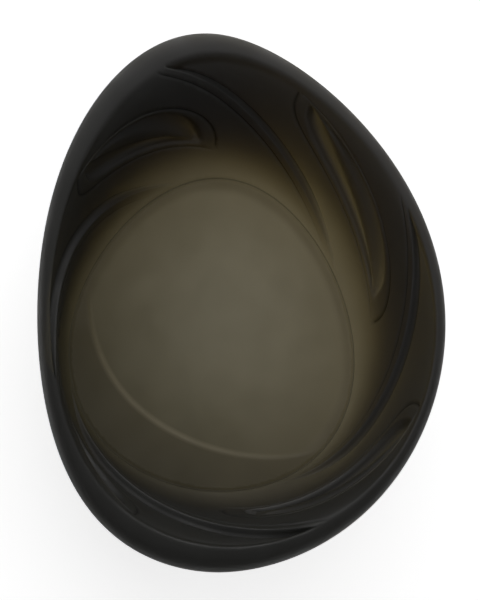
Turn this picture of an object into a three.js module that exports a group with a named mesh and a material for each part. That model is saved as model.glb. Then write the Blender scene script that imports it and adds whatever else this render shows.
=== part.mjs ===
import * as THREE from 'three';

// A serving bowl made of one body: an egg-shaped rim with a rounded lip, a smooth pool in the bottom, and
// steep walls carved into overlapping swept petals, each with a leaf-shaped hollow.
// Sizes are in millimetres. Z is up and the narrow end points along +Y. The origin is on the surface that
// the bowl stands on, under the middle of the rim. Angles run clockwise from +Y, seen from above.

const degrees = THREE.MathUtils.degToRad;

// A step in angle, or in a share of the wall, that is small enough to give a surface's direction
const NEARBY = 0.001;

// Overall size
const LENGTH = 380;
const WIDTH = 286;
const HEIGHT = 95;
const FLOOR_THICKNESS = 7;

// Shape of the rim's egg outline, as shares of its half width
const RIM_SHAPE = { taper: 0.047, tipTaper: 0.07, fullness: 1.03, bow: 0.162 };

// The lip takes this share of the way from the rim to the pool, and drops this far to the rim
const LIP_SHARE = 0.22;
const LIP_DROP = 9;

// The pool in the bottom
const POOL_LENGTH = 237;
const POOL_WIDTH = 210;
const POOL_SHIFT = new THREE.Vector2(-2, -8);
const POOL_TURN = degrees(8.5);
const POOL_DISH = 3;
const POOL_SHAPE = { taper: 0.163, tipTaper: 0, fullness: 1, bow: 0.035 };

// The foot is a flat egg, smaller all round than the pool above it
const FOOT_INSET = 1;

// How each wall bends on its way up: the handles of its curve, as shares of its width and height
const INNER_WALL_BEND = new THREE.CubicBezierCurve(
  new THREE.Vector2(0, 0),
  new THREE.Vector2(0.35, 0.12),
  new THREE.Vector2(0.64, 1),
  new THREE.Vector2(1, 1),
);
const OUTER_WALL_BEND = new THREE.CubicBezierCurve(
  new THREE.Vector2(0, 0),
  new THREE.Vector2(0.63, 0.125),
  new THREE.Vector2(0.92, 0.78),
  new THREE.Vector2(1, 1),
);

// The swept petals round the inner wall. Each slopes up to a ledge, which drops to the next petal. The
// ledges deepen and fade out over shares of the way up the wall.
const PETALS = 4;
const PETAL_TURN = degrees(70);
const PETAL_SWEEP = degrees(-95);
const SWEEP_EASE = 1.3;
const LEDGE_HEIGHT = 5.5;
const LEDGE_WIDTH = 2.5;
const LEDGE_FADE_IN = 0.3;
const LEDGE_FADE_OUT = 0.12;

// The leaf-shaped hollow along each petal. Its ends are shares of the way up the wall.
const LEAF_START = 0.28;
const LEAF_END = 0.84;
const LEAF_HALF_WIDTH = 14;
const LEAF_DEPTH = 4.5;
const LEAF_TIP_HALF_WIDTH = 3;

// How finely the body is divided
const PETAL_COLUMNS = [1, 5, 4, 4, 7];
const POOL_RINGS = 8;
const WALL_RINGS = 16;
const LIP_RINGS = 4;
const OUTER_RINGS = 10;

const outerWallHeight = HEIGHT - LIP_DROP;
const poolBorderHeight = FLOOR_THICKNESS + POOL_DISH;
const petalAngle = (2 * Math.PI) / PETALS;
const columnsPerPetal = PETAL_COLUMNS.reduce((sum, count) => sum + count, 0);

// A point on an egg outline whose narrow end points along +Y.
function egg(angle, length, width, shape) {
  const along = Math.cos(angle);
  const across = Math.sign(Math.sin(angle)) * Math.abs(Math.sin(angle)) ** shape.fullness;
  const narrowing = 1 - shape.taper * along - shape.tipTaper * along ** 3;
  const x = across * narrowing - shape.bow * along ** 2;
  return new THREE.Vector2((x * width) / 2, (along * length) / 2);
}

function rimOutline(angle) {
  return egg(angle, LENGTH, WIDTH, RIM_SHAPE);
}

// The pool's egg drawn in by an inset, turned and moved to its place.
function poolOutline(angle, inset = 0) {
  const point = egg(angle - POOL_TURN, POOL_LENGTH - 2 * inset, POOL_WIDTH - 2 * inset, POOL_SHAPE);
  return point.rotateAround(new THREE.Vector2(), -POOL_TURN).add(POOL_SHIFT);
}

function lipTopOutline(angle) {
  return rimOutline(angle).lerp(poolOutline(angle), LIP_SHARE);
}

// A point of a wall that bends on its way between a low and a high outline.
function wallPoint(low, high, lowHeight, highHeight, bend, share) {
  const way = bend.getPoint(share);
  const plan = low.clone().lerp(high, way.x);
  return new THREE.Vector3(plan.x, plan.y, THREE.MathUtils.lerp(lowHeight, highHeight, way.y));
}

function poolPoint(angle, share) {
  const plan = POOL_SHIFT.clone().lerp(poolOutline(angle), share);
  return new THREE.Vector3(plan.x, plan.y, FLOOR_THICKNESS + POOL_DISH * share ** 2);
}

function innerWallPoint(angle, share) {
  const border = poolOutline(angle);
  return wallPoint(border, lipTopOutline(angle), poolBorderHeight, HEIGHT, INNER_WALL_BEND, share);
}

function outerWallPoint(angle, share) {
  const foot = poolOutline(angle, FOOT_INSET);
  return wallPoint(foot, rimOutline(angle), 0, outerWallHeight, OUTER_WALL_BEND, share);
}

// A point of the lip's outer side, which is part of an ellipse from its top down to the outer wall.
function lipPoint(angle, share) {
  const turn = (share * Math.PI) / 2;
  const plan = lipTopOutline(angle).lerp(rimOutline(angle), Math.sin(turn));
  return new THREE.Vector3(plan.x, plan.y, outerWallHeight + LIP_DROP * Math.cos(turn));
}

// The direction out of the inner wall, square to it.
function innerWallNormal(angle, share) {
  const round = innerWallPoint(angle + NEARBY, share).sub(innerWallPoint(angle - NEARBY, share));
  const up = innerWallPoint(angle, share + NEARBY).sub(innerWallPoint(angle, share - NEARBY));
  return round.cross(up).normalize();
}

// How far a ledge has swept round the bowl at a share of the way up the wall.
function sweepAngle(share) {
  return PETAL_SWEEP * (1 - (1 - share) ** SWEEP_EASE);
}

// Millimetres square to a ledge for each radian round the bowl.
function acrossPerRadian(share) {
  const radius = THREE.MathUtils.lerp(POOL_LENGTH + POOL_WIDTH, LENGTH + WIDTH, share) / 4;
  const wallHeight = HEIGHT - poolBorderHeight;
  const lean = (radius * PETAL_SWEEP * SWEEP_EASE * (1 - share) ** (SWEEP_EASE - 1)) / wallHeight;
  return radius / Math.hypot(1, lean);
}

function leafHalfWidth(share) {
  const along = THREE.MathUtils.clamp((share - LEAF_START) / (LEAF_END - LEAF_START), 0, 1);
  return LEAF_HALF_WIDTH * Math.sin(Math.PI * along);
}

// Depth of the leaf's hollow at a distance from its midrib. It is shallower near the leaf's tips.
function leafDepth(aside, share) {
  const halfWidth = leafHalfWidth(share);
  if (aside >= halfWidth) {
    return 0;
  }
  return LEAF_DEPTH * Math.min(1, halfWidth / LEAF_TIP_HALF_WIDTH) * (1 - (aside / halfWidth) ** 2);
}

// Where each column of one petal lies, in millimetres past the ledge. The columns follow the ledge's foot
// and the leaf's edges and midrib, and spread out evenly towards the pool and the lip.
function columnOffsets(share) {
  const width = petalAngle * acrossPerRadian(share);
  const leaf = Math.hypot(leafHalfWidth(share), LEAF_TIP_HALF_WIDTH);
  const lines = [0, LEDGE_WIDTH, width / 2 - leaf, width / 2, width / 2 + leaf, width];
  const followed = PETAL_COLUMNS.flatMap((count, line) =>
    Array.from({ length: count }, (_, i) => THREE.MathUtils.lerp(lines[line], lines[line + 1], i / count)));
  const low = THREE.MathUtils.smoothstep(LEAF_START - share, 0, LEAF_START);
  const high = THREE.MathUtils.smoothstep(share, LEAF_END, 1);
  const even = Math.max(low, high);
  return followed.map((offset, i) => THREE.MathUtils.lerp(offset, (i * width) / columnsPerPetal, even));
}

// How far the carved wall stands out of the plain one. It is cut in, so this is never above nought.
function carvedHeight(column, offset, share) {
  const width = petalAngle * acrossPerRadian(share);
  const rise = LEDGE_HEIGHT * (column === 0 ? 1 : offset / width);
  const fadeIn = THREE.MathUtils.smoothstep(share, 0, LEDGE_FADE_IN);
  const fadeOut = THREE.MathUtils.smoothstep(1 - share, 0, LEDGE_FADE_OUT);
  return fadeIn * fadeOut * (rise - LEDGE_HEIGHT) - leafDepth(Math.abs(offset - width / 2), share);
}

// One ring of the carved inner wall.
function innerWallRing(share) {
  const offsets = columnOffsets(share);
  return eachColumn((petal, column) => {
    const offset = offsets[column];
    const angle = PETAL_TURN + petal * petalAngle + sweepAngle(share) + offset / acrossPerRadian(share);
    const height = carvedHeight(column, offset, share);
    return innerWallPoint(angle, share).addScaledVector(innerWallNormal(angle, share), height);
  });
}

// A ring with its columns spaced as on the pool's border for a wallShare of 0, or on the lip for 1.
function plainRing(pointAt, share, wallShare) {
  const offsets = columnOffsets(wallShare);
  return eachColumn((petal, column) => {
    const turn = offsets[column] / acrossPerRadian(wallShare);
    return pointAt(PETAL_TURN + petal * petalAngle + sweepAngle(wallShare) + turn, share);
  });
}

function eachColumn(pointOf) {
  const columns = Array.from({ length: PETALS * columnsPerPetal }, (_, i) => i);
  return columns.map((i) => pointOf(Math.floor(i / columnsPerPetal), i % columnsPerPetal));
}

// Shares of a way in equal steps, without its start.
function steps(count) {
  return Array.from({ length: count }, (_, i) => (i + 1) / count);
}

// Joins rings of points into one closed skin, from a middle point on the inside to one underneath.
function closedSkin(firstPoint, rings, lastPoint) {
  const points = [firstPoint, ...rings.flat(), lastPoint];
  const count = rings[0].length;
  const faces = [];
  const at = (ring, column) => 1 + ring * count + (column % count);
  for (let column = 0; column < count; column += 1) {
    faces.push(0, at(0, column + 1), at(0, column));
    for (let ring = 0; ring + 1 < rings.length; ring += 1) {
      faces.push(at(ring, column), at(ring, column + 1), at(ring + 1, column));
      faces.push(at(ring, column + 1), at(ring + 1, column + 1), at(ring + 1, column));
    }
    faces.push(at(rings.length - 1, column), at(rings.length - 1, column + 1), points.length - 1);
  }
  const geometry = new THREE.BufferGeometry().setFromPoints(points);
  geometry.setIndex(faces);
  geometry.computeVertexNormals();
  return geometry;
}

function bowlGeometry() {
  const easeOut = (share) => Math.sin((share * Math.PI) / 2);
  const rings = [
    ...steps(POOL_RINGS).map((share) => plainRing(poolPoint, easeOut(share), 0)),
    ...steps(WALL_RINGS).slice(0, -1).map(innerWallRing),
    ...[0, ...steps(LIP_RINGS)].map((share) => plainRing(lipPoint, share, 1)),
    ...steps(OUTER_RINGS).map((share) => plainRing(outerWallPoint, 1 - share, 1)),
  ];
  const middle = new THREE.Vector3(POOL_SHIFT.x, POOL_SHIFT.y, 0);
  return closedSkin(middle.clone().setZ(FLOOR_THICKNESS), rings, middle);
}

function smokedGlass() {
  return new THREE.MeshStandardMaterial({ color: 0x3b372c, roughness: 0.4, metalness: 0 });
}

const bowl = new THREE.Mesh(bowlGeometry(), smokedGlass());
bowl.name = 'bowl';

const servingBowl = new THREE.Group();
servingBowl.add(bowl);

export default servingBowl;
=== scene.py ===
import math

import bpy
import numpy as np
from mathutils import Matrix, Vector
from mathutils.geometry import delaunay_2d_cdt
from mathutils.kdtree import KDTree


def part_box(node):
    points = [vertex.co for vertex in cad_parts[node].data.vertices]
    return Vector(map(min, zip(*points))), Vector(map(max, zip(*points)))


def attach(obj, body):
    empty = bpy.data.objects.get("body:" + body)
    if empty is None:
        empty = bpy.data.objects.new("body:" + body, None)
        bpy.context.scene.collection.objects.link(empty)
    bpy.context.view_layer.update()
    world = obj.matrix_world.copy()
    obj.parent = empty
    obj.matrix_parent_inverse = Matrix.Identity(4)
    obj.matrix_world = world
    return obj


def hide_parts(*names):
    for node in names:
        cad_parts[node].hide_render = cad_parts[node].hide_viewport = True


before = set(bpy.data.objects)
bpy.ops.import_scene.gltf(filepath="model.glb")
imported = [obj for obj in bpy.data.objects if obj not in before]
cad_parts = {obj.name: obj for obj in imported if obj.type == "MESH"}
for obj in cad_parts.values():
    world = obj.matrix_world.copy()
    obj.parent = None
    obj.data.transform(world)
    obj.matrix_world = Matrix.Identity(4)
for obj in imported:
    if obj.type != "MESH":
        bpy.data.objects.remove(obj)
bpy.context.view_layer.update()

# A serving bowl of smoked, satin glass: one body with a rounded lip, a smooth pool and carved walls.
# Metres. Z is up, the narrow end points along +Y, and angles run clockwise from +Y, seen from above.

# The bowl's body. Its length, width and height are the frame's.
bowl_low, bowl_high = (np.array(corner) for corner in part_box("bowl"))
WIDTH, LENGTH, HEIGHT = bowl_high - bowl_low
LIP_SHARE = 0.22
LIP_DROP = 0.009
FLOOR_THICKNESS = 0.007
RIM_SHAPE = dict(taper=0.047, tip_taper=0.07, fullness=1.03, bow=0.162)

POOL_LENGTH = 0.237
POOL_WIDTH = 0.210
POOL_SHIFT = np.array([-0.002, -0.008])
POOL_TURN = math.radians(8.5)
POOL_DISH = 0.003
POOL_SHAPE = dict(taper=0.163, tip_taper=0.0, fullness=1.0, bow=0.035)
FOOT_INSET = 0.001

# How each wall bends on its way up: the two handles of its curve, as shares of its width and height
INNER_WALL_BEND = ((0.35, 0.12), (0.64, 1.0))
OUTER_WALL_BEND = ((0.63, 0.125), (0.92, 0.78))

# The swept petals, each sloping up to a ledge
PETALS = 4
PETAL_TURN = math.radians(70)
PETAL_SWEEP = math.radians(-95)
SWEEP_EASE = 1.3
LEDGE_HEIGHT = 0.0055
LEDGE_WIDTH = 0.0016
LEDGE_FADE_IN = 0.3
LEDGE_FADE_OUT = 0.12

# The leaf-shaped hollow along each petal, deepest where the wall is thick, and its raised midrib
LEAF_START = 0.28
LEAF_END = 0.84
LEAF_HALF_WIDTH = 0.014
LEAF_DEPTH = 0.0045
LEAF_EXTRA_DEPTH = 0.003
LEAF_TIP_HALF_WIDTH = 0.003
LEAF_BEVEL = 0.0022
RIB_RISE = 0.8
RIB_SLOPE = (0.08, 0.62)

# The incised lines: the pool's border, and the finer ones along the ledges and round the leaves
GROOVE_DEPTH = 0.0015
GROOVE_HALF_WIDTH = 0.0011
LINE_DEPTH = 0.0012
LINE_HALF_WIDTH = 0.0008
CREST_LINE_GAP = 0.005
LEAF_LINE_GAP = 0.0035
LEAF_LINE_MARGIN = 0.05

# The shallow recess in the pool: a circle on the flat disc below, cut short where it meets the border.
# It is deeper towards the bowl's far right.
RECESS_CENTRE = np.array([0.033, 0.054])
RECESS_RADIUS = 0.141
RECESS_DEPTH = 0.0021
RECESS_TILT = np.array([0.0005, 0.0007])
RECESS_EDGE = 0.0026
RECESS_BORDER_EDGE = 0.010
# A lighter band painted along the recess's edge as a highlight: its half width, and how far in from the
# pool's border it fades in
HIGHLIGHT_BAND_HALF_WIDTH = 0.0032
HIGHLIGHT_FADE = 0.030

# How finely the skin is divided
GRID_PITCH = 0.0021
GRID_RIM_MARGIN = 0.7 * GRID_PITCH
GRID_LINE_MARGIN = 0.45 * GRID_PITCH
LINE_STEPS = 220
LINE_MARGIN = 0.0004
EDGE_LINES = 11
MERGE_DISTANCE = 0.000002
RIM_COLUMNS = 480
LIP_RINGS = 16
OUTER_RINGS = 36
FOOT_RINGS = 6
NEARBY = 0.0005

# Where the skin tells its material to paint shade in the incised lines and a highlight along the recess's
# edge
LINE_SHADE_ATTRIBUTE = "incised"
HIGHLIGHT_ATTRIBUTE = "painted_highlight"

# The inner skin is laid out flat as a disc: the pool in the middle and the wall round it
POOL_SPAN = 0.110
WALL_SPAN = 0.090

outer_wall_height = HEIGHT - LIP_DROP
pool_border_height = FLOOR_THICKNESS + POOL_DISH
petal_angle = 2 * math.pi / PETALS
foot_middle = np.array([*POOL_SHIFT, 0.0])


def columns(x, y):
    return np.stack([x, y], axis=-1)


def egg(angle, length, width, shape):
    """Points on an egg outline whose narrow end points along +Y."""
    along = np.cos(angle)
    across = np.sign(np.sin(angle)) * np.abs(np.sin(angle)) ** shape["fullness"]
    narrowing = 1 - shape["taper"] * along - shape["tip_taper"] * along**3
    return columns((across * narrowing - shape["bow"] * along**2) * width / 2, along * length / 2)


def rim_outline(angle):
    return egg(angle, LENGTH, WIDTH, RIM_SHAPE)


def pool_outline(angle, inset=0.0):
    x, y = egg(angle - POOL_TURN, POOL_LENGTH - 2 * inset, POOL_WIDTH - 2 * inset, POOL_SHAPE).T
    cosine, sine = math.cos(POOL_TURN), math.sin(POOL_TURN)
    return columns(x * cosine + y * sine, y * cosine - x * sine) + POOL_SHIFT


def lip_top_outline(angle):
    return rim_outline(angle) + (pool_outline(angle) - rim_outline(angle)) * LIP_SHARE


def with_height(plan, height):
    return np.concatenate([plan, np.broadcast_to(height, plan.shape[:1])[:, None]], axis=1)


def wall_point(low, high, low_height, high_height, bend, share):
    """A wall that bends on its way between a low and a high outline."""
    left = 1 - share
    weights = 3 * left**2 * share, 3 * left * share**2, share**3
    outward, upward = (weights[0] * near + weights[1] * far + weights[2] for near, far in zip(*bend))
    plan = low + (high - low) * outward[:, None]
    return with_height(plan, low_height + (high_height - low_height) * upward)


def pool_point(angle, share):
    plan = POOL_SHIFT + (pool_outline(angle) - POOL_SHIFT) * share[:, None]
    return with_height(plan, FLOOR_THICKNESS + POOL_DISH * share**2)


def inner_wall_point(angle, share):
    low, high = pool_outline(angle), lip_top_outline(angle)
    return wall_point(low, high, pool_border_height, HEIGHT, INNER_WALL_BEND, share)


def outer_wall_point(angle, share):
    low, high = pool_outline(angle, FOOT_INSET), rim_outline(angle)
    return wall_point(low, high, 0.0, outer_wall_height, OUTER_WALL_BEND, share)


def lip_point(angle, share):
    """The lip's outer side, part of an ellipse from its top down to the outer wall."""
    turn = math.pi / 2 * share
    top, outer = lip_top_outline(angle), rim_outline(angle)
    plan = top + (outer - top) * np.sin(turn)[:, None]
    return with_height(plan, outer_wall_height + LIP_DROP * np.cos(turn))


def smooth(value, low, high):
    share = np.clip((value - low) / (high - low), 0, 1)
    return share * share * (3 - 2 * share)


def laid_flat(angle, share):
    """Where a point of the wall lies on the flat disc."""
    radius = POOL_SPAN + WALL_SPAN * share
    return columns(radius * np.sin(angle), radius * np.cos(angle))


def from_flat(flat):
    """Angle, radius and share of the wall for points of the flat disc."""
    radius = np.linalg.norm(flat, axis=-1)
    return np.arctan2(flat[:, 0], flat[:, 1]), radius, (radius - POOL_SPAN) / WALL_SPAN


def plain_skin(flat):
    """The inner skin before it is carved."""
    angle, radius, share = from_flat(flat)
    pool = pool_point(angle, np.minimum(radius / POOL_SPAN, 1))
    wall = inner_wall_point(angle, np.clip(share, 0, 1))
    return np.where((share > 0)[:, None], wall, pool)


def sweep_angle(share):
    return PETAL_SWEEP * (1 - (1 - share) ** SWEEP_EASE)


def across_per_radian(share):
    """Metres square to a ledge for each radian round the bowl."""
    radius = ((POOL_LENGTH + POOL_WIDTH) * (1 - share) + (LENGTH + WIDTH) * share) / 4
    wall_height = HEIGHT - pool_border_height
    lean = radius * PETAL_SWEEP * SWEEP_EASE * (1 - share) ** (SWEEP_EASE - 1) / wall_height
    return radius / np.hypot(1, lean)


def leaf_half_width(share, margin=0.0, gap=0.0):
    along = np.clip((share - LEAF_START + margin) / (LEAF_END - LEAF_START + 2 * margin), 0, 1)
    return (LEAF_HALF_WIDTH + gap) * np.sin(math.pi * along)


def leaf_line_half_width(share):
    return leaf_half_width(share, LEAF_LINE_MARGIN, LEAF_LINE_GAP)


def in_line(distance, half_width=LINE_HALF_WIDTH):
    """1 in the middle of an incised line, down to 0 at its edges."""
    return np.clip(1 - np.abs(distance) / half_width, 0, 1)


def on_petal(angle, share):
    """Metres past the ledge, a petal's width and metres aside of its middle line, at points of the wall."""
    across = across_per_radian(share)
    width = petal_angle * across
    past_ledge = np.mod(angle - PETAL_TURN - sweep_angle(share), petal_angle) * across
    return past_ledge, width, np.abs(past_ledge - width / 2)


def ledge_fade(share):
    return smooth(share, 0, LEDGE_FADE_IN) * smooth(1 - share, 0, LEDGE_FADE_OUT)


def ledge_height(past_ledge, width, share):
    """How a petal lies to the plain wall. It is deepest just past a ledge and slopes up to the next."""
    rise = np.where(
        past_ledge < LEDGE_WIDTH,
        1 - smooth(past_ledge, 0, LEDGE_WIDTH),
        (past_ledge - LEDGE_WIDTH) / (width - LEDGE_WIDTH),
    )
    return ledge_fade(share) * LEDGE_HEIGHT * (rise - 1)


def leaf_height(aside, angle, share):
    """The leaf's hollow and its midrib, at a distance from the leaf's middle line."""
    half = leaf_half_width(share)
    fade = np.minimum(1, half / LEAF_TIP_HALF_WIDTH)
    depth = fade * (LEAF_DEPTH + LEAF_EXTRA_DEPTH * np.cos(angle) ** 2)
    rib = RIB_RISE * (1 - smooth(aside / np.maximum(half, LINE_MARGIN), *RIB_SLOPE))
    return -depth * smooth(half - aside, 0, LEAF_BEVEL) * (1 - rib)


def wall_height(angle, share):
    """How the petals and their leaves lie to the plain wall, square to it."""
    past_ledge, width, aside = on_petal(angle, share)
    return ledge_height(past_ledge, width, share) + leaf_height(aside, angle, share)


def wall_lines(angle, share):
    """The incised lines at a ledge's foot, along its crest and round the leaf."""
    past_ledge, width, aside = on_petal(angle, share)
    beside_ledge = in_line(past_ledge - LEDGE_WIDTH) + in_line(past_ledge - width + CREST_LINE_GAP)
    half = leaf_line_half_width(share)
    round_leaf = np.minimum(1, half / LEAF_TIP_HALF_WIDTH) * in_line(aside - half)
    return ledge_fade(share) * beside_ledge + round_leaf


def into_recess(flat):
    """Metres into the recess's circle and in from the pool's border line."""
    in_circle = RECESS_RADIUS - np.linalg.norm(flat - RECESS_CENTRE, axis=-1)
    return in_circle, POOL_SPAN - GROOVE_HALF_WIDTH - np.linalg.norm(flat, axis=-1)


def pool_height(flat):
    """How the recess in the pool lies to the plain skin."""
    in_circle, in_border = into_recess(flat)
    depth = RECESS_DEPTH + (flat - RECESS_CENTRE) @ RECESS_TILT / RECESS_RADIUS
    return -depth * np.clip(in_circle / RECESS_EDGE, 0, 1) * smooth(in_border, 0, RECESS_BORDER_EDGE)


def painted_highlight(flat):
    """Where a highlight is painted along the recess's edge, from 0 to 1. It fades in from the pool's border.
    """
    in_circle, in_border = into_recess(flat)
    return in_line(in_circle - RECESS_EDGE / 2, HIGHLIGHT_BAND_HALF_WIDTH) * smooth(in_border, 0, HIGHLIGHT_FADE)


def incised(flat):
    """The wall's incised lines and the pool's border line, each from 0 beside it to 1 in its middle."""
    angle, radius, share = from_flat(flat)
    on_wall = np.where(share > 0, wall_lines(angle, np.clip(share, 0, 1)), 0)
    return on_wall, in_line(radius - POOL_SPAN, GROOVE_HALF_WIDTH)


def carved_height(flat):
    angle, _, share = from_flat(flat)
    forms = np.where(share > 0, wall_height(angle, np.clip(share, 0, 1)), pool_height(flat))
    on_wall, at_border = incised(flat)
    return forms - LINE_DEPTH * on_wall - GROOVE_DEPTH * at_border


def carved_skin(flat):
    """The carved inner skin, moved square to the plain one."""
    step_x, step_y = np.array([NEARBY, 0]), np.array([0, NEARBY])
    limit = POOL_SPAN + WALL_SPAN - NEARBY
    radius = np.linalg.norm(flat, axis=-1, keepdims=True)
    inside = flat * np.minimum(1, limit / np.maximum(radius, NEARBY))
    along_x = plain_skin(inside + step_x) - plain_skin(inside - step_x)
    along_y = plain_skin(inside + step_y) - plain_skin(inside - step_y)
    normal = np.cross(along_x, along_y)
    normal /= np.linalg.norm(normal, axis=-1, keepdims=True)
    return plain_skin(flat) + normal * carved_height(flat)[:, None]


def flat_circle(radius, centre=(0.0, 0.0)):
    """A circle on the flat disc that ends on its first point."""
    turns = np.linspace(0, 2 * math.pi, RIM_COLUMNS, endpoint=False)
    ring = columns(radius * np.sin(turns), radius * np.cos(turns)) + centre
    return np.concatenate([ring, ring[:1]])


def ledge_lines(start, share):
    """Lines along a ledge and along both edges and the middle of each incised line beside it."""
    across = across_per_radian(share)
    foot = [LEDGE_WIDTH + side * LINE_HALF_WIDTH for side in (-1, 0, 1)]
    crest = [side * LINE_HALF_WIDTH - CREST_LINE_GAP for side in (-1, 0, 1)]
    places = [*crest, -LINE_MARGIN, 0, foot[0] / 2, *foot]
    return [laid_flat(start + place / across, share) for place in places]


def leaf_lines(middle, share):
    """Lines along a leaf's edge, bevel and midrib, and along the incised line round it."""
    across = across_per_radian(share)
    half = leaf_half_width(share)
    places = [half, half - LEAF_BEVEL / 2, half - LEAF_BEVEL]
    places += [half * side for side in RIB_SLOPE]
    places += [leaf_line_half_width(share) + side * LINE_HALF_WIDTH for side in (-1, 0, 1)]
    lines = []
    for place in places:
        for side in (-1, 1):
            line = laid_flat(middle + side * place / across, share)
            lines.append(line[place > LINE_MARGIN])
    return lines


def feature_lines():
    """Lines along the carving's edges, on the flat disc. Each is a row of points."""
    margin = 2 * GROOVE_HALF_WIDTH / WALL_SPAN
    share = np.linspace(margin, 1 - margin, LINE_STEPS)
    lines = []
    for petal in range(PETALS):
        start = PETAL_TURN + petal * petal_angle + sweep_angle(share)
        lines += ledge_lines(start, share)
        lines += leaf_lines(start + petal_angle / 2, share)
    border = POOL_SPAN - GROOVE_HALF_WIDTH
    lines += [flat_circle(POOL_SPAN + side * GROOVE_HALF_WIDTH) for side in (-1, 0, 1)]
    # Lines across the band where a highlight is painted along the recess's edge
    for aside in np.linspace(-HIGHLIGHT_BAND_HALF_WIDTH, HIGHLIGHT_BAND_HALF_WIDTH, EDGE_LINES):
        arc = flat_circle(RECESS_RADIUS - (RECESS_EDGE / 2 + aside), RECESS_CENTRE)
        lines.append(arc[np.linalg.norm(arc, axis=-1) < border - LINE_MARGIN])
    return lines


def grid_points():
    """An even triangular grid over the flat disc."""
    span = POOL_SPAN + WALL_SPAN
    row = GRID_PITCH * math.sqrt(3) / 2
    rows = np.arange(-span, span, row)
    across = np.arange(-span, span, GRID_PITCH)
    x, y = np.meshgrid(across, rows)
    x = x + (np.arange(len(rows)) % 2)[:, None] * GRID_PITCH / 2
    points = columns(x.ravel(), y.ravel())
    return points[np.linalg.norm(points, axis=-1) < span - GRID_RIM_MARGIN]


def inner_skin():
    """The flat disc's points and faces, and its edge, in order round the lip."""
    lines = [flat_circle(POOL_SPAN + WALL_SPAN), *feature_lines()]
    tree = KDTree(sum(len(line) for line in lines))
    edges = []
    count = 0
    for line in lines:
        for i, point in enumerate(line):
            tree.insert((*point, 0), count + i)
        edges += [(count + i, count + i + 1) for i in range(len(line) - 1)]
        count += len(line)
    tree.balance()
    grid = [point for point in grid_points() if tree.find((*point, 0))[2] > GRID_LINE_MARGIN]
    placed = [Vector(point) for point in np.concatenate([*lines, grid])]
    made, _, faces, *_ = delaunay_2d_cdt(placed, edges, [], 0, MERGE_DISTANCE)
    flat = np.array(made)
    angle, _, share = from_flat(flat)
    edge = np.flatnonzero(share * WALL_SPAN > WALL_SPAN - MERGE_DISTANCE)
    edge = edge[np.argsort(angle[edge])]
    return flat, faces, edge, angle[edge]


def outer_rings(turns):
    """The rings of points from just past the lip's top, down the outer wall and in under the foot."""
    down_lip = np.linspace(0, 1, LIP_RINGS + 1)[1:]
    down_wall = np.linspace(1, 0, OUTER_RINGS + 1)[1:]
    in_under = np.linspace(1, 0, FOOT_RINGS + 1)[1:-1]
    rings = [lip_point(turns, np.full(len(turns), share)) for share in down_lip]
    rings += [outer_wall_point(turns, np.full(len(turns), share)) for share in down_wall]
    foot = rings[-1]
    return rings + [foot_middle + (foot - foot_middle) * share for share in in_under]


def bands(order):
    """The four-sided faces between each ring of points and the next."""
    faces = []
    for ring, following in zip(order, order[1:]):
        faces += np.stack([ring, np.roll(ring, -1), np.roll(following, -1), following], axis=1).tolist()
    return faces


def bowl_mesh():
    flat, faces, edge, turns = inner_skin()
    skin = carved_skin(flat)
    rings = outer_rings(turns)
    points = np.concatenate([skin, *rings, foot_middle[None]])
    count = len(turns)
    order = [edge] + [len(skin) + ring * count + np.arange(count) for ring in range(len(rings))]
    faces += bands(order)
    last = order[-1]
    middle = np.full(count, len(points) - 1)
    faces += np.stack([last, np.roll(last, -1), middle], axis=1).tolist()
    mesh = bpy.data.meshes.new("smoked_bowl")
    mesh.from_pydata(points.tolist(), [], faces)
    mesh.shade_smooth()
    # For the material: painted shade in the incised lines and a painted highlight along the recess's edge
    marks = {LINE_SHADE_ATTRIBUTE: np.maximum(*incised(flat)), HIGHLIGHT_ATTRIBUTE: painted_highlight(flat)}
    for name, values in marks.items():
        attribute = mesh.attributes.new(name, "FLOAT", "POINT")
        attribute.data.foreach_set("value", np.pad(values, (0, len(points) - len(skin))))
    return mesh


def new_material(name):
    material = bpy.data.materials.new(name)
    material.use_nodes = True
    material.node_tree.nodes.clear()
    return material, material.node_tree.nodes, material.node_tree.links


def noise(nodes, links, place, scale, detail):
    node = nodes.new("ShaderNodeTexNoise")
    node.inputs["Scale"].default_value = scale
    node.inputs["Detail"].default_value = detail
    links.new(place, node.inputs["Vector"])
    return node.outputs["Fac"]


def spread(nodes, links, value, low, high, to_low, to_high):
    """Maps a value from one range onto another."""
    node = nodes.new("ShaderNodeMapRange")
    node.inputs["From Min"].default_value = low
    node.inputs["From Max"].default_value = high
    node.inputs["To Min"].default_value = to_low
    node.inputs["To Max"].default_value = to_high
    links.new(value, node.inputs["Value"])
    return node.outputs[0]


def combine(nodes, links, operation, first, second):
    node = nodes.new("ShaderNodeMath")
    node.operation = operation
    links.new(first, node.inputs[0])
    links.new(second, node.inputs[1])
    return node.outputs[0]


def distance_along(nodes, links, place, axis):
    """How far a place lies along an axis, times the axis's length."""
    node = nodes.new("ShaderNodeVectorMath")
    node.operation = "DOT_PRODUCT"
    node.inputs[1].default_value = axis
    links.new(place, node.inputs[0])
    return node.outputs["Value"]


# The finish of the glass: how rough it is, how many features lie in a metre, how fine their detail goes
# and how much they change
NOISE_RANGE = (0.3, 0.7)
ROUGHNESS = 0.62
POLISH_SCALE = 45
POLISH_DETAIL = 4
POLISH_CHANGE = 0.07
WEAR_CHANGE = -0.16
WORN_EDGE = (0.505, 0.56)
SCRATCH_STRETCH = (1500, 45, 300)
SCRATCH_TURN = math.radians(35)
SCRATCH_DETAIL = 2
SCRATCH_RANGE = (0.66, 0.72)
SCRATCH_CHANGE = -0.1
GRAIN_SCALE = 1400
GRAIN_DETAIL = 2
GRAIN_HEIGHT = 0.00003
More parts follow.
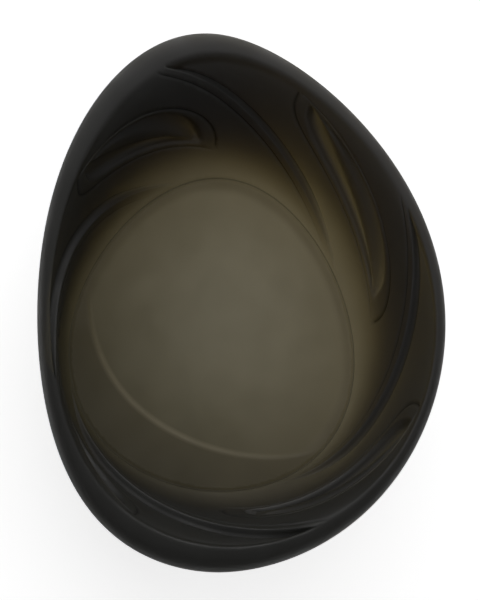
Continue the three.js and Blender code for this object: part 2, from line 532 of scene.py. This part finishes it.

# The smoky glass: its uneven spread, the axis along which it thins out, its colours, and how much
# light passes and bends. The thinning along the axis is painted light and shade: the glass is clearer towards
# the bowl's far right and low down, and darker towards the left, the wide end and up the walls.
CLOUD_SCALE = 14
CLOUD_DETAIL = 3
CLOUD_CHANGE = 0.05
PAINTED_LIGHT_AXIS = (0.72, 0.69, -1.0)
PAINTED_LIGHT_REACH = 0.125
GLASS_SMOKY_SHADED = (0.235, 0.235, 0.195, 1)
GLASS_CLEAR_LIT = (0.73, 0.73, 0.74, 1)
# Painted shade: the incised lines are darkened to near black in their middles
GLASS_SHADE_IN_LINES = (0.03, 0.028, 0.02, 1)
# Painted highlight: lighter glass along the recess's edge
GLASS_PAINTED_HIGHLIGHT = (0.78, 0.76, 0.74, 1)
TRANSMISSION = 0.95
REFRACTION = 1.5
ABSORPTION_COLOR = (0.345, 0.27, 0.01, 1)
ABSORPTION_DENSITY = 290


def blend(nodes, links, factor, first, second):
    """Mixes two colours. The first is a socket or a plain colour."""
    node = nodes.new("ShaderNodeMix")
    node.data_type = "RGBA"
    links.new(factor, node.inputs["Factor"])
    if isinstance(first, bpy.types.NodeSocket):
        links.new(first, node.inputs["A"])
    else:
        node.inputs["A"].default_value = first
    node.inputs["B"].default_value = second
    return node.outputs["Result"]


def tint_with_painted_light(nodes, links, place):
    """The glass's colour. Its smoky tint thins out towards the bowl's far right and low down, a painted
    gradient of light and shade, and clouds vary it at random. A painted highlight lies along the recess's
    edge, and painted shade darkens the incised lines.
    """
    # Painted light and shade: the glass clears along an axis towards the far right and low down
    toward = distance_along(nodes, links, place, PAINTED_LIGHT_AXIS)
    lit_side = spread(nodes, links, toward, -PAINTED_LIGHT_REACH, PAINTED_LIGHT_REACH, 0, 1)
    clouds = noise(nodes, links, place, CLOUD_SCALE, CLOUD_DETAIL)
    clouds = spread(nodes, links, clouds, *NOISE_RANGE, -CLOUD_CHANGE, CLOUD_CHANGE)
    lit_share = combine(nodes, links, "ADD", lit_side, clouds)
    painted_glass_color = blend(nodes, links, lit_share, GLASS_SMOKY_SHADED, GLASS_CLEAR_LIT)
    # A painted highlight along the recess's edge, then painted shade in the incised lines
    for name, color in ((HIGHLIGHT_ATTRIBUTE, GLASS_PAINTED_HIGHLIGHT), (LINE_SHADE_ATTRIBUTE, GLASS_SHADE_IN_LINES)):
        share = nodes.new("ShaderNodeAttribute")
        share.attribute_name = name
        painted_glass_color = blend(nodes, links, share.outputs["Fac"], painted_glass_color, color)
    return painted_glass_color


def smoked_glass():
    """Satin glass that darkens with depth, with a fine grain, an uneven polish, scratches and worn edges."""
    material, nodes, links = new_material("smoked_glass")
    output = nodes.new("ShaderNodeOutputMaterial")
    surface = nodes.new("ShaderNodeBsdfPrincipled")
    place = nodes.new("ShaderNodeTexCoord").outputs["Object"]
    surface.inputs["IOR"].default_value = REFRACTION
    surface.inputs["Transmission Weight"].default_value = TRANSMISSION

    links.new(tint_with_painted_light(nodes, links, place), surface.inputs["Base Color"])

    polish = noise(nodes, links, place, POLISH_SCALE, POLISH_DETAIL)
    polish_limits = ROUGHNESS - POLISH_CHANGE, ROUGHNESS + POLISH_CHANGE
    uneven = spread(nodes, links, polish, *NOISE_RANGE, *polish_limits)
    pointed = nodes.new("ShaderNodeNewGeometry").outputs["Pointiness"]
    worn = spread(nodes, links, pointed, *WORN_EDGE, 0, WEAR_CHANGE)
    stretch = nodes.new("ShaderNodeMapping")
    stretch.inputs["Rotation"].default_value = (0, 0, SCRATCH_TURN)
    stretch.inputs["Scale"].default_value = SCRATCH_STRETCH
    links.new(place, stretch.inputs["Vector"])
    scratch = noise(nodes, links, stretch.outputs[0], 1, SCRATCH_DETAIL)
    scratched = spread(nodes, links, scratch, *SCRATCH_RANGE, 0, SCRATCH_CHANGE)
    roughness = combine(nodes, links, "ADD", uneven, worn)
    roughness = combine(nodes, links, "ADD", roughness, scratched)
    links.new(roughness, surface.inputs["Roughness"])

    bump = nodes.new("ShaderNodeBump")
    bump.inputs["Distance"].default_value = GRAIN_HEIGHT
    links.new(noise(nodes, links, place, GRAIN_SCALE, GRAIN_DETAIL), bump.inputs["Height"])
    links.new(bump.outputs[0], surface.inputs["Normal"])

    depth = nodes.new("ShaderNodeVolumeAbsorption")
    depth.inputs["Color"].default_value = ABSORPTION_COLOR
    depth.inputs["Density"].default_value = ABSORPTION_DENSITY
    links.new(surface.outputs[0], output.inputs["Surface"])
    links.new(depth.outputs[0], output.inputs["Volume"])
    return material


def make_bowl():
    bowl = bpy.data.objects.new("carved_bowl", bowl_mesh())
    bpy.context.scene.collection.objects.link(bowl)
    bowl.data.materials.append(smoked_glass())
    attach(bowl, "root")
    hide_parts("bowl")


# The camera is high above the left of the bowl's wide end and looks down at its middle
CAMERA_PLACE = np.array([-0.2395, -0.2726, 0.9840])
CAMERA_TARGET = np.array([0.0040, 0.0048, 0.0475])
CAMERA_LENS = 85
CAMERA_SENSOR = 36


def make_camera():
    data = bpy.data.cameras.new("camera")
    data.lens = CAMERA_LENS
    data.sensor_width = CAMERA_SENSOR
    camera = bpy.data.objects.new("camera", data)
    back = Vector(CAMERA_PLACE - CAMERA_TARGET).normalized()
    right = Vector((0, 1, 0)).cross(back).normalized()
    up = back.cross(right)
    turned = Matrix((right, up, back)).transposed().to_4x4()
    camera.matrix_world = Matrix.Translation(CAMERA_PLACE) @ turned
    bpy.context.scene.collection.objects.link(camera)
    bpy.context.scene.camera = camera


# The floor is a disc that curves up into a low backdrop all round
FLOOR_RADIUS = 6.0
COVE_RADIUS = 1.0
COVE_STEPS = 12
BACKDROP_HEIGHT = 2.0
FLOOR_SIDES = 96
FLOOR_GAP = 0.0002
FLOOR_COLOR = (0.9, 0.9, 0.9, 1)
FLOOR_GLOW = 0.71


def floor_mesh():
    """One face in the middle and bands up the cove and the backdrop."""
    climb = np.linspace(0, math.pi / 2, COVE_STEPS + 1)
    radii = np.append(FLOOR_RADIUS + COVE_RADIUS * np.sin(climb), FLOOR_RADIUS + COVE_RADIUS)
    heights = np.append(COVE_RADIUS * (1 - np.cos(climb)), BACKDROP_HEIGHT)
    turns = np.linspace(0, 2 * math.pi, FLOOR_SIDES, endpoint=False)
    round_floor = columns(np.sin(turns), np.cos(turns))
    rings = [with_height(round_floor * radius, height) for radius, height in zip(radii, heights)]
    order = [np.arange(FLOOR_SIDES) + FLOOR_SIDES * ring for ring in range(len(rings))]
    faces = [order[0][::-1].tolist(), *bands(order)]
    mesh = bpy.data.meshes.new("floor")
    mesh.from_pydata((np.concatenate(rings) - (0, 0, FLOOR_GAP)).tolist(), [], faces)
    return mesh


def make_floor():
    """The floor glows for what looks at it, straight or in the glass, and keeps the bowl's shadow."""
    floor = bpy.data.objects.new("floor", floor_mesh())
    material, nodes, links = new_material("pale_floor")
    output = nodes.new("ShaderNodeOutputMaterial")
    matte = nodes.new("ShaderNodeBsdfDiffuse")
    matte.inputs["Color"].default_value = FLOOR_COLOR
    glow = nodes.new("ShaderNodeEmission")
    path = nodes.new("ShaderNodeLightPath")
    both = nodes.new("ShaderNodeAddShader")
    seen = path.outputs["Is Camera Ray"]
    for ray in ("Is Glossy Ray", "Is Transmission Ray"):
        seen = combine(nodes, links, "MAXIMUM", seen, path.outputs[ray])
    links.new(spread(nodes, links, seen, 0, 1, 0, FLOOR_GLOW), glow.inputs["Strength"])
    links.new(matte.outputs[0], both.inputs[0])
    links.new(glow.outputs[0], both.inputs[1])
    links.new(both.outputs[0], output.inputs["Surface"])
    floor.data.materials.append(material)
    bpy.context.scene.collection.objects.link(floor)


# The sky brightens along an axis that leans a little towards the narrow end
SKY_AXIS = (0.0, 0.25, 0.97)
SKY_DIM = 0.04
SKY_BRIGHT = 0.53


def make_world():
    """Bright overhead and dim at the horizon."""
    world = bpy.data.worlds.new("studio")
    world.use_nodes = True
    nodes, links = world.node_tree.nodes, world.node_tree.links
    nodes.clear()
    output = nodes.new("ShaderNodeOutputWorld")
    light = nodes.new("ShaderNodeBackground")
    place = nodes.new("ShaderNodeTexCoord").outputs["Generated"]
    upward = distance_along(nodes, links, place, SKY_AXIS)
    links.new(spread(nodes, links, upward, 0, 1, SKY_DIM, SKY_BRIGHT), light.inputs["Strength"])
    links.new(light.outputs[0], output.inputs["Surface"])
    bpy.context.scene.world = world


# One wide, soft lamp beyond the narrow end
KEY_PLACE = (-0.1, 1.8, 0.95)
KEY_SIZE = (3.4, 1.0)
KEY_POWER = 17


def make_lamp(name, place, size, power):
    """A rectangular lamp that faces the bowl."""
    data = bpy.data.lights.new(name, "AREA")
    data.shape = "RECTANGLE"
    data.size, data.size_y = size
    data.energy = power
    lamp = bpy.data.objects.new(name, data)
    lamp.location = place
    lamp.rotation_euler = (-Vector(place)).to_track_quat("-Z", "Y").to_euler()
    bpy.context.scene.collection.objects.link(lamp)


make_camera()
make_bowl()
make_floor()
make_world()
make_lamp("key", KEY_PLACE, KEY_SIZE, KEY_POWER)

scene = bpy.context.scene
scene.view_settings.view_transform = "Standard"
